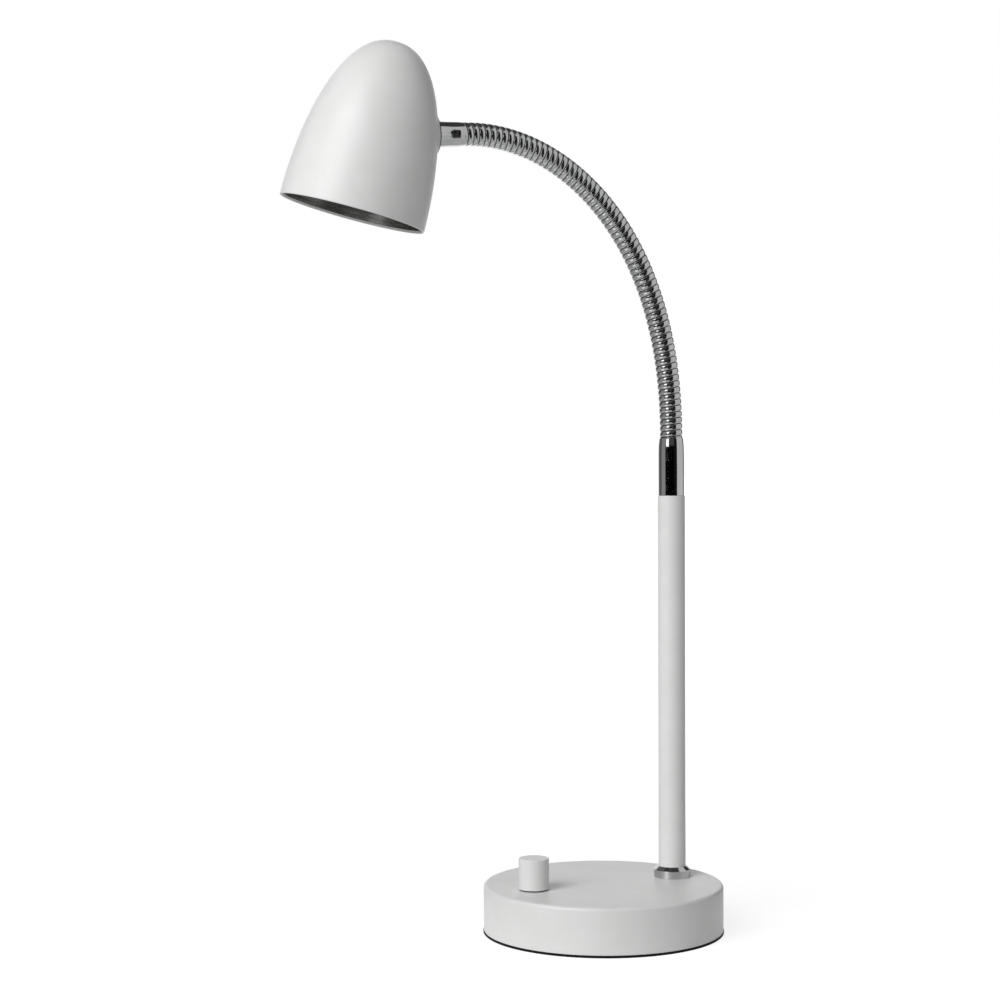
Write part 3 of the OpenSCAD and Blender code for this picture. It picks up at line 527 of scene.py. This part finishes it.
def buildWinder():
    # winds a strip of wire round a core that follows a line
    coreRows, coreSides = 25, 32
    tree = bpy.data.node_groups.new("wire winder", "GeometryNodeTree")
    face = tree.interface
    face.new_socket("Geometry", in_out="INPUT", socket_type="NodeSocketGeometry")
    face.new_socket("Geometry", in_out="OUTPUT", socket_type="NodeSocketGeometry")
    kinds = {"Line": "Object", "Start": "Float", "Turns": "Float", "Pitch": "Float", "Radius": "Float",
             "Strip width": "Float", "Strip depth": "Float", "Corner": "Float", "Corner steps": "Int",
             "Crown radius": "Float", "Core radius": "Float", "Steps per turn": "Int",
             "Strip finish": "Material", "Core finish": "Material"}
    for name, kind in kinds.items():
        face.new_socket(name, in_out="INPUT", socket_type="NodeSocket" + kind)
    given = addNode(tree, "NodeGroupInput").outputs
    line = addNode(tree, "GeometryNodeObjectInfo", {"Object": given["Line"]}).outputs["Geometry"]

    straight = addNode(tree, "GeometryNodeCurvePrimitiveLine", {"Start": (0, 0, 0), "End": (1, 0, 0)})
    count = calc(tree, "ADD", calc(tree, "MULTIPLY", given["Turns"], given["Steps per turn"]), 1)
    straight = addNode(tree, "GeometryNodeResampleCurve", {"Curve": straight.outputs[0], "Count": count})
    section = addNode(tree, "GeometryNodeCurvePrimitiveQuadrilateral", {
        "Width": given["Strip width"], "Height": given["Strip depth"]})
    section = addNode(tree, "GeometryNodeFilletCurve", {
        "Curve": section.outputs[0], "Count": given["Corner steps"], "Radius": given["Corner"]},
        mode="POLY")
    section = addNode(tree, "GeometryNodeSubdivideCurve", {"Curve": section.outputs[0], "Cuts": 1})
    strip = addNode(tree, "GeometryNodeCurveToMesh", {
        "Curve": straight.outputs[0], "Profile Curve": section.outputs[0], "Fill Caps": True})
    flat = addNode(tree, "GeometryNodeInputPosition").outputs[0]
    part = addNode(tree, "ShaderNodeSeparateXYZ", {0: flat}).outputs
    along = calc(tree, "MULTIPLY", part["X"], given["Turns"])
    centre = calc(tree, "MULTIPLY_ADD", along, given["Pitch"], given["Start"])
    angle = calc(tree, "MULTIPLY", calc(tree, "DIVIDE", centre, given["Pitch"]), math.tau)
    midway = calc(tree, "MULTIPLY_ADD", given["Strip depth"], -0.5, given["Radius"])
    out = calc(tree, "ADD", midway, part["Z"])
    squared = calc(tree, "MULTIPLY", part["Y"], part["Y"])
    sag = calc(tree, "DIVIDE", squared, calc(tree, "MULTIPLY", given["Crown radius"], 2))
    out = calc(tree, "SUBTRACT", out, sag)
    girth = calc(tree, "MULTIPLY", given["Radius"], math.tau)
    wireLength = calc(tree, "MULTIPLY", calc(tree, "DIVIDE", centre, given["Pitch"]), girth)
    pattern = addNode(tree, "ShaderNodeCombineXYZ", {0: wireLength, 1: part["Y"], 2: part["Z"]})
    strip = addNode(tree, "GeometryNodeStoreNamedAttribute", {
        "Geometry": strip.outputs[0], "Name": "wound", "Value": pattern.outputs[0]},
        data_type="FLOAT_VECTOR", domain="POINT")
    spot = addNode(tree, "GeometryNodeSampleCurve", {
        "Curves": line, "Length": calc(tree, "ADD", centre, part["Y"])}, mode="LENGTH").outputs
    side = vectorCalc(tree, "NORMALIZE", vectorCalc(tree, "CROSS_PRODUCT", (0, 1, 0), spot["Tangent"]))
    other = vectorCalc(tree, "CROSS_PRODUCT", spot["Tangent"], side)
    offsets = []
    for way, turning in ((side, "COSINE"), (other, "SINE")):
        arm = calc(tree, "MULTIPLY", out, calc(tree, turning, angle))
        offset = addNode(tree, "ShaderNodeVectorMath", {0: way, "Scale": arm}, operation="SCALE")
        offsets.append(offset.outputs[0])
    spot = vectorCalc(tree, "ADD", vectorCalc(tree, "ADD", spot["Position"], offsets[0]), offsets[1])
    strip = addNode(tree, "GeometryNodeSetPosition", {"Geometry": strip.outputs[0], "Position": spot})

    span = calc(tree, "MULTIPLY_ADD", given["Turns"], given["Pitch"], given["Start"])
    core = addNode(tree, "GeometryNodeTrimCurve", {0: line, 4: given["Start"], 5: span}, mode="LENGTH")
    core = addNode(tree, "GeometryNodeResampleCurve", {"Curve": core.outputs[0], "Count": coreRows})
    ring = addNode(tree, "GeometryNodeCurvePrimitiveCircle", {
        "Resolution": coreSides, "Radius": given["Core radius"]})
    core = addNode(tree, "GeometryNodeCurveToMesh", {
        "Curve": core.outputs[0], "Profile Curve": ring.outputs[0], "Fill Caps": True})
    core = addNode(tree, "GeometryNodeStoreNamedAttribute", {
        "Geometry": core.outputs[0], "Name": "inner", "Value": 1.0}, data_type="FLOAT", domain="FACE")

    both = addNode(tree, "GeometryNodeJoinGeometry")
    tree.links.new(core.outputs[0], both.inputs[0])
    tree.links.new(strip.outputs[0], both.inputs[0])
    smoothed = addNode(tree, "GeometryNodeSetShadeSmooth", {"Geometry": both.outputs[0]})
    real = addNode(tree, "GeometryNodeRealizeInstances", {"Geometry": smoothed.outputs[0]})
    coated = addNode(tree, "GeometryNodeSetMaterial", {
        "Geometry": real.outputs[0], "Material": given["Strip finish"]})
    inner = addNode(tree, "GeometryNodeInputNamedAttribute", {"Name": "inner"}, data_type="FLOAT")
    coated = addNode(tree, "GeometryNodeSetMaterial", {
        "Geometry": coated.outputs[0], "Selection": calc(tree, "GREATER_THAN", inner.outputs[0], 0.5),
        "Material": given["Core finish"]})
    addNode(tree, "NodeGroupOutput", {0: coated.outputs[0]})
    return tree


winder = buildWinder()


def wind(name, line, values):
    piece = bpy.data.objects.new(name, bpy.data.meshes.new(name))
    bpy.context.scene.collection.objects.link(piece)
    modifier = piece.modifiers.new("winder", "NODES")
    modifier.node_group = winder
    sockets = {item.name: item.identifier for item in winder.interface.items_tree if item.in_out == "INPUT"}
    for key, value in {"Line": line, **values}.items():
        modifier[sockets[key]] = value
    graph = bpy.context.evaluated_depsgraph_get()
    mesh = bpy.data.meshes.new_from_object(piece.evaluated_get(graph), depsgraph=graph)
    piece.modifiers.clear()
    piece.data = mesh
    mesh.name = name
    mesh.set_sharp_from_angle(angle=math.radians(50))
    return piece


lead = neck["lead"]
stretch = neck["length"] / neck["joints"]
turnsEach = neck["turns"] / neck["joints"]
pitch = stretch / turnsEach
lineSteps = int((neck["length"] + 2 * lead) / lineStep)
centreLine = lineObject("neck line", [neckPoint(i * lineStep - lead) for i in range(lineSteps + 1)])
for k in range(1, neck["joints"] + 1):
    before = 1 if k == 1 else 0             # a turn more at each end, inside the ferrule
    after = 1 if k == neck["joints"] else 0
    begin = (k - 1) * stretch - before * pitch
    section = wind(f"neck_winding_{k}", centreLine, {
        "Start": (begin + lead) * mm, "Turns": turnsEach + before + after, "Pitch": pitch * mm,
        "Radius": neck["radius"] * mm, "Strip width": neck["stripWidth"] * mm,
        "Strip depth": neck["stripDepth"] * mm, "Corner": neck["corner"] * mm,
        "Corner steps": neck["cornerSteps"], "Crown radius": neck["crown"] * mm,
        "Core radius": neck["core"] * mm, "Steps per turn": neck["steps"],
        "Strip finish": materials["wound_chrome"], "Core finish": materials["dark_core"]})
    neckPoint((k - 1) * stretch)
    neckPoint(k * stretch)
    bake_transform(section)
    replaced = ["neck_root"] if k == 1 else [f"neck_link_{k - 1}"]
    if after:
        replaced.append("neck_tip")
    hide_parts(*replaced)
bpy.data.objects.remove(centreLine)


# The ferrule at the neck's end, and the shade on its flat seat

tipFerrule = {"start": 2.9, "end": 19.8, "radius": 7.5, "lip": 6.78, "mouth": 6.97, "mouthAt": 5.8,
              "waist": 7.06, "waistAt": 11.6, "socket": 6.72, "socketEnd": 9, "thread": 4.9,
              "threadEnd": 29.8, "bore": 2.5}
washer = {"radius": 12, "thickness": 0.8, "bore": 4.96, "play": 0.05}
shade = {"radius": 41.2, "length": 97.8, "fullness": 0.44, "wall": 1, "seatHeight": 55.5, "seatSink": 0.6,
         "seatAngle": 17.3, "seatFlat": 12.2, "seatRamp": 3.2, "seatThickness": 3.2, "turn": -6,
         "threadHole": 4.96}


def bulletRadius(z, inset=0):
    share = 1 - (z / (shade["length"] - inset)) ** 2
    return (shade["radius"] - inset) * max(share, 0) ** shade["fullness"]


seatRadius = bulletRadius(shade["seatHeight"]) - shade["seatSink"]
seatDistance = tipFerrule["end"] + washer["thickness"] + 2 * washer["play"]
atTip = neckPlace(neck["length"])
shadePlace = (atTip @ place(0, 0, seatDistance) @ spin(shade["turn"], "Z")
              @ spin(90 + shade["seatAngle"], "Y") @ place(-seatRadius, 0, -shade["seatHeight"]))
seatPlace = place(seatRadius, 0, shade["seatHeight"]) @ spin(90 - shade["seatAngle"], "Y")

low, high, thread = tipFerrule["start"], tipFerrule["end"], tipFerrule["thread"]
upperSleeve = addPiece("upper_ferrule_sleeve", turnedMesh("sleeve", [
    (tipFerrule["socket"], low), (tipFerrule["lip"], low, 0.02),
    (tipFerrule["mouth"], tipFerrule["mouthAt"], 15), (tipFerrule["waist"], tipFerrule["waistAt"], 60),
    (tipFerrule["radius"], high, 0.3), (thread, high),
    (thread, tipFerrule["threadEnd"], 0.3), (tipFerrule["bore"], tipFerrule["threadEnd"]),
    (tipFerrule["bore"], tipFerrule["socketEnd"]), (tipFerrule["socket"], tipFerrule["socketEnd"])],
    atTip, loop=True), "chrome")
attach(upperSleeve, "neck_end")
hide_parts("upper_ferrule")

low, high = washer["play"], washer["play"] + washer["thickness"]
darkWasher = addPiece("shade_seat_washer", turnedMesh("washer", [
    (washer["bore"], low), (washer["radius"], low, 0.2), (washer["radius"], high, 0.25),
    (washer["bore"], high)], shadePlace @ seatPlace, sides=96, loop=True), "black_plastic")
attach(darkWasher, "shade")
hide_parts("shade_washer")


def shadeRings():
    # (radius, height, depth of the seat's plane) from the top's outside, round the lip, to the top's inside
    fine, coarse, seatFrom, seatTo = 0.3, 1.5, 20, 51      # closer together across the seat
    first, last = 0.6, 89
    angles, a = [], first
    while a < last:
        angles.append(a)
        a += fine if seatFrom < a < seatTo else coarse
    top, inner = shade["length"], shade["length"] - shade["wall"]
    heights = [top * math.sin(math.radians(a)) for a in angles]
    outside = [(bulletRadius(height), height, 0) for height in heights]
    heights = [inner * math.sin(math.radians(a)) for a in angles[2::2]]
    inside = [(bulletRadius(height, shade["wall"]), height, shade["seatThickness"]) for height in heights]
    half = shade["wall"] / 2
    middle = shade["radius"] - half
    lip = [(middle + half * math.cos(math.radians(t)), half - half * math.sin(math.radians(t)), None)
           for t in range(0, 181, 20)]
    return [(0, top, 0)] + outside[::-1] + lip + inside + [(0, inner, 0)]


def shadeColumns():
    fine, coarse, seatSide = 0.8, 2.4, 34        # closer together across the seat
    turns, a = [], -seatSide
    while a < seatSide:
        turns.append(a)
        a += fine
    while a < 360 - seatSide - coarse / 2:
        turns.append(a)
        a += coarse
    return [math.radians(a) for a in turns]


def shadeMesh():
    # the bullet's wall, with a round flat pressed in where the ferrule sits
    form = bmesh.new()
    toSeat, pressedSide = seatPlace.inverted(), math.radians(60)
    columns = shadeColumns()
    rings = []
    for radius, height, depth in shadeRings():
        if radius == 0:
            rings.append([form.verts.new((0, 0, height * mm))])
            continue
        ring = []
        for turn in columns:
            point = Vector((radius * math.cos(turn), radius * math.sin(turn), height)) * mm
            if depth is not None and abs(turn) < pressedSide:
                seen = toSeat @ point
                away = math.hypot(seen.x, seen.y) / mm
                share = min(max((away - shade["seatFlat"]) / shade["seatRamp"], 0), 1)
                share = share * share * (3 - 2 * share)
                seen.z = -depth * mm + (seen.z + depth * mm) * share
                point = seatPlace @ seen
            ring.append(form.verts.new(point))
        rings.append(ring)
    count = len(columns)
    for a, b in zip(rings, rings[1:]):
        for k in range(count):
            ends = [a[k % len(a)], a[(k + 1) % len(a)], b[(k + 1) % len(b)], b[k % len(b)]]
            form.faces.new(list(dict.fromkeys(ends)))
    bmesh.ops.recalc_face_normals(form, faces=form.faces)
    mesh = bpy.data.meshes.new("bullet_shade")
    form.to_mesh(mesh)
    form.free()
    return mesh


shadeWall = drilled(shadeMesh(), [rod(shade["threadHole"], -8, 6, seatPlace)])
bulletShade = addPiece("bullet_shade", shadeWall, "white_enamel")
bulletShade.data.transform(shadePlace)
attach(bulletShade, "shade")
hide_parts("shade")
print("upper ferrule, washer and shade: made")


# Reflector and capsule bulb

reflector = {"lift": 1.4, "height": 42.6, "low": 39.88, "top": 14, "wall": 0.6, "bulbHole": 7.95,
             "rows": 24}
bulb = {"radius": 6.75, "low": 11.2, "high": 44.2, "glass": 0.7, "pinch": (12.6, 4, 8), "pinchLow": 42.2,
        "coilLow": 24, "coilLength": 8, "coilLead": 1, "coilRadius": 0.95, "coilPitch": 0.42,
        "wire": 0.22, "core": 0.12, "post": 4.5, "postRadius": 0.3, "postSink": 0.6, "postTop": 50}


def bowl(inset):
    rows, narrow = reflector["rows"], reflector["top"]
    points = []
    for i in range(rows + 1):
        a = math.radians(90) * i / rows
        wide = narrow + (reflector["low"] - narrow) * math.cos(a)
        high = reflector["lift"] + math.sin(a) * reflector["height"]
        points.append((wide - inset, high - inset * 0.5 * (i > 0)))
    return points


top = reflector["lift"] + reflector["height"]
reflectorBowl = addPiece("reflector_bowl", turnedMesh("reflector", [
    (reflector["bulbHole"], top + 0.2, 0.1), *bowl(0)[::-1], *bowl(reflector["wall"]),
    (reflector["bulbHole"], top - 0.4, 0.1)], shadePlace, sides=160, loop=True), "spun_aluminium")
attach(reflectorBowl, "shade")
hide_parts("reflector")


def dome(inset):
    wide = bulb["radius"] - inset
    middle, high = bulb["low"] + bulb["radius"], bulb["high"] - inset
    angles = [math.radians(a) for a in range(0, 91, 9)]
    points = [(wide * math.sin(a), middle - wide * math.cos(a)) for a in angles]
    return points + [(wide, high - 1.5, 1), (wide - 1.2, high), (0, high)]


pinch = bmesh.new()
bmesh.ops.create_cube(pinch, size=mm)
bmesh.ops.scale(pinch, vec=bulb["pinch"], verts=pinch.verts)
bmesh.ops.bevel(pinch, geom=pinch.edges[:], offset=0.9 * mm, segments=3, affect="EDGES")
bmesh.ops.translate(pinch, vec=(0, 0, (bulb["pinchLow"] + bulb["pinch"][2] / 2) * mm), verts=pinch.verts)
pinchMesh = bpy.data.meshes.new("pinch")
pinch.to_mesh(pinchMesh)
pinch.free()
capsule = addPiece("bulb_capsule", joined("capsule", [
    turnedMesh("outside", dome(0), sides=72),
    turnedMesh("inside", dome(bulb["glass"]), sides=72, inward=True), pinchMesh]), "bulb_glass")
capsule.data.transform(shadePlace)
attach(capsule, "shade")
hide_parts("bulb_glass")

half, lead = bulb["coilLength"] / 2, bulb["coilLead"]
lineSteps = int((bulb["coilLength"] + 2 * lead) / lineStep)
filamentLine = lineObject("filament line", [
    Vector((-half - lead + i * lineStep, 0, bulb["coilLow"])) * mm for i in range(lineSteps + 1)])
turns = round(bulb["coilLength"] / bulb["coilPitch"])
filament = wind("bulb_filament", filamentLine, {
    "Start": lead * mm, "Turns": turns, "Pitch": bulb["coilPitch"] * mm, "Radius": bulb["coilRadius"] * mm,
    "Strip width": bulb["wire"] * mm, "Strip depth": bulb["wire"] * mm, "Corner": bulb["wire"] * 0.4 * mm,
    "Corner steps": 1, "Crown radius": 1 * mm, "Core radius": bulb["core"] * mm, "Steps per turn": 16,
    "Strip finish": materials["tungsten"], "Core finish": materials["tungsten"]})
bpy.data.objects.remove(filamentLine)
filament.data.transform(shadePlace)
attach(filament, "shade")
thin, low, high = bulb["postRadius"], bulb["coilLow"] - bulb["postSink"], bulb["postTop"]
posts = [turnedMesh("post", [
    (0, low), (thin, low, 0.1), (thin, high, 0.1), (0, high)],
    place(x, 0, 0), sides=12) for x in (-bulb["post"], bulb["post"])]
leadWires = addPiece("filament_posts", joined("filament_posts", posts), "tungsten")
leadWires.data.transform(shadePlace)
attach(leadWires, "shade")
print("reflector and bulb: made")


# The CAD nodes that keep their shape get their finish from the record's slots

shown = 0
for name, piece in frame["nodes"].items():
    if piece.hide_render:
        continue
    piece.data.materials.clear()
    piece.data.materials.append(materials[slotOf[name]])
    shown += 1
print("CAD nodes kept:", shown)


camera = {"focal": 80.394, "sensor": 36, "azimuth": -24.683, "elevation": 1.706, "roll": -0.265,
          "distance": 1300.511, "shiftRight": -59.408, "aimHeight": 252.461, "near": 50, "far": 60000}

a, e, roll = (math.radians(camera[key]) for key in ("azimuth", "elevation", "roll"))
right = Vector((math.cos(a), math.sin(a), 0))
back = Vector((math.sin(a) * math.cos(e), -math.cos(a) * math.cos(e), math.sin(e)))
up = back.cross(right)
cameraRight = right * math.cos(roll) + up * math.sin(roll)
cameraUp = up * math.cos(roll) - right * math.sin(roll)
aim = right * camera["shiftRight"] + Vector((0, 0, camera["aimHeight"]))
cameraData = bpy.data.cameras.new("camera")
cameraData.lens = camera["focal"]
cameraData.sensor_width = camera["sensor"]
cameraData.clip_start, cameraData.clip_end = camera["near"] * mm, camera["far"] * mm
cameraObject = bpy.data.objects.new("camera", cameraData)
bpy.context.scene.collection.objects.link(cameraObject)
spot = Matrix((cameraRight, cameraUp, back)).transposed().to_4x4()
spot.translation = (aim + back * camera["distance"]) * mm
cameraObject.matrix_world = spot
bpy.context.scene.camera = cameraObject


# White floor and surroundings, a soft lamp, and cards that only gloss sees

studio = {
    "middle": (-50, 0, 260), "ambient": 0.2,
    "lamps": {"key": {"side": -41, "height": 34, "distance": 4200, "size": 3000, "turn": 45, "watts": 134}},
    "cardDistance": 2400, "sideStep": 4, "heightStep": 6,
    "cards": {
        "left_edge": {"side": (-150, -101), "height": (-6, 62), "level": 0.14},
        "left_grey": {"side": (-101, -58), "height": (-6, 62), "level": 0.34},
        "low_flag": {"side": (-58, 26), "height": (-6, 8), "level": 0.002},
        "upper_left": {"side": (-58, -28), "height": (8, 62), "level": 0.25},
        "upper_middle": {"side": (-28, 26), "height": (8, 62), "level": 0.08},
        "right_flag": {"side": (26, 52), "height": (-6, 48), "level": 0.01},
        "right_high": {"side": (26, 52), "height": (48, 62), "level": 0.55},
        "right_card": {"side": (52, 126), "height": (-6, 62), "level": 0.7},
        "right_edge": {"side": (126, 150), "height": (-6, 62), "level": 0.05},
        "rear": {"side": (150, 210), "height": (40, 62), "level": 0.05},
        "ceiling": {"side": (0, 360), "height": (62, 90), "level": 0.055},
        "window": {"side": (-50, -26), "height": (6, 26), "level": 2.2, "nearer": 30},
    },
    "tables": {
        "close_table": {"side": (0, 360), "reach": (140, 430), "level": 0.53},
        "left_table": {"side": (-150, -60), "reach": (430, 2400), "level": 0.42},
        "window_table": {"side": (-60, -26), "reach": (430, 1150), "level": 1.25},
        "front_table": {"side": (-26, 16), "reach": (430, 1150), "level": 0.55},
        "front_flag": {"side": (16, 52), "reach": (430, 1150), "level": 0.03},
        "right_table": {"side": (52, 150), "reach": (430, 2400), "level": 0.6},
        "far_table": {"side": (-60, 52), "reach": (1150, 2400), "level": 0.02},
    },
    "tableHeight": 1.5,
}


def heading(side, height):
    turned, lift = math.radians(camera["azimuth"] + side), math.radians(height)
    return Vector((math.sin(turned) * math.cos(lift), -math.cos(turned) * math.cos(lift), math.sin(lift)))


middle = Vector(studio["middle"]) * mm
for name, lamp in studio["lamps"].items():
    data = bpy.data.lights.new(name, "AREA")
    data.shape = "SQUARE"
    data.size = lamp["size"] * mm
    data.energy = lamp["watts"]
    source = bpy.data.objects.new(name, data)
    bpy.context.scene.collection.objects.link(source)
    toLamp = heading(lamp["side"], lamp["height"])
    turn = toLamp.to_track_quat("Z", "Y").to_matrix().to_4x4() @ spin(lamp["turn"], "Z")
    turn.translation = middle + toLamp * lamp["distance"] * mm
    source.matrix_world = turn


def cardMaterial(name, level):
    material = bpy.data.materials.new(name)
    material.use_nodes = True
    tree = material.node_tree
    tree.nodes.clear()
    glow = addNode(tree, "ShaderNodeEmission", {"Color": (1, 1, 1, 1), "Strength": level})
    addNode(tree, "ShaderNodeOutputMaterial", {"Surface": glow.outputs[0]})
    material.cycles.emission_sampling = "NONE"
    return material


def addCard(name, level, rows):
    form = bmesh.new()
    grid = [[form.verts.new(point) for point in row] for row in rows]
    for low, high in zip(grid, grid[1:]):
        for k in range(len(low) - 1):
            form.faces.new((low[k], low[k + 1], high[k + 1], high[k]))
    mesh = bpy.data.meshes.new(name)
    form.to_mesh(mesh)
    form.free()
    mesh.materials.append(cardMaterial(name, level))
    card = bpy.data.objects.new(name, mesh)
    bpy.context.scene.collection.objects.link(card)
    card.visible_camera = card.visible_diffuse = card.visible_shadow = False
    card.visible_transmission = card.visible_volume_scatter = False


def fromTo(first, last, step):
    count = max(1, round((last - first) / step))
    return [first + (last - first) * k / count for k in range(count + 1)]


for name, card in studio["cards"].items():
    addCard(name, card["level"], [
        [middle + heading(side, height) * (studio["cardDistance"] - card.get("nearer", 0)) * mm
         for side in fromTo(*card["side"], studio["sideStep"])]
        for height in fromTo(*card["height"], studio["heightStep"])])
tableTop = Vector((0, 0, studio["tableHeight"])) * mm
for name, table in studio["tables"].items():
    addCard(name, table["level"], [
        [heading(side, 0) * reach * mm + tableTop for side in fromTo(*table["side"], studio["sideStep"])]
        for reach in table["reach"]])


def seenRays(tree):
    # one for the rays that see the surroundings: camera, gloss and glass
    path = addNode(tree, "ShaderNodeLightPath").outputs
    direct = calc(tree, "MAXIMUM", path["Is Camera Ray"], path["Is Glossy Ray"])
    return calc(tree, "MAXIMUM", direct, path["Is Transmission Ray"])


floorLook = {"size": 24000, "cells": 24, "below": 0.1, "bounce": 0.8, "seenBounce": 0.35,
             "nearLevel": 0.82, "farLevel": 1, "fadeFrom": 120, "fadeTo": 500}
form = bmesh.new()
cells = floorLook["cells"]
bmesh.ops.create_grid(form, x_segments=cells, y_segments=cells, size=floorLook["size"] / 2 * mm)
bmesh.ops.translate(form, vec=(0, 0, -floorLook["below"] * mm), verts=form.verts)
floorMesh = bpy.data.meshes.new("floor")
form.to_mesh(floorMesh)
form.free()
floor = bpy.data.objects.new("floor", floorMesh)
bpy.context.scene.collection.objects.link(floor)
material = bpy.data.materials.new("studio floor")
material.use_nodes = True
tree = material.node_tree
tree.nodes.clear()
seen = seenRays(tree)
ground = addNode(tree, "ShaderNodeTexCoord").outputs["Object"]
away = vectorCalc(tree, "LENGTH", ground)
level = addNode(tree, "ShaderNodeMapRange", {
    "Value": away, "From Min": floorLook["fadeFrom"] * mm, "From Max": floorLook["fadeTo"] * mm,
    "To Min": floorLook["nearLevel"], "To Max": floorLook["farLevel"]}, interpolation_type="SMOOTHSTEP")
bounce = addNode(tree, "ShaderNodeBsdfDiffuse", {"Color": (floorLook["bounce"],) * 3 + (1,)})
seenBounce = addNode(tree, "ShaderNodeBsdfDiffuse", {"Color": (floorLook["seenBounce"],) * 3 + (1,)})
glow = addNode(tree, "ShaderNodeEmission", {"Color": (1, 1, 1, 1), "Strength": level.outputs[0]})
bright = addNode(tree, "ShaderNodeAddShader", {0: seenBounce.outputs[0], 1: glow.outputs[0]})
final = addNode(tree, "ShaderNodeMixShader", {0: seen, 1: bounce.outputs[0], 2: bright.outputs[0]})
addNode(tree, "ShaderNodeOutputMaterial", {"Surface": final.outputs[0]})
material.cycles.emission_sampling = "NONE"
floorMesh.materials.append(material)

world = bpy.data.worlds.new("studio")
world.use_nodes = True
tree = world.node_tree
tree.nodes.clear()
seen = seenRays(tree)
strength = calc(tree, "MULTIPLY_ADD", seen, 1 - studio["ambient"], studio["ambient"])
sky = addNode(tree, "ShaderNodeBackground", {"Color": (1, 1, 1, 1), "Strength": strength})
addNode(tree, "ShaderNodeOutputWorld", {"Surface": sky.outputs[0]})
bpy.context.scene.world = world
bpy.context.scene.view_settings.view_transform = "Standard"
print("studio: made")
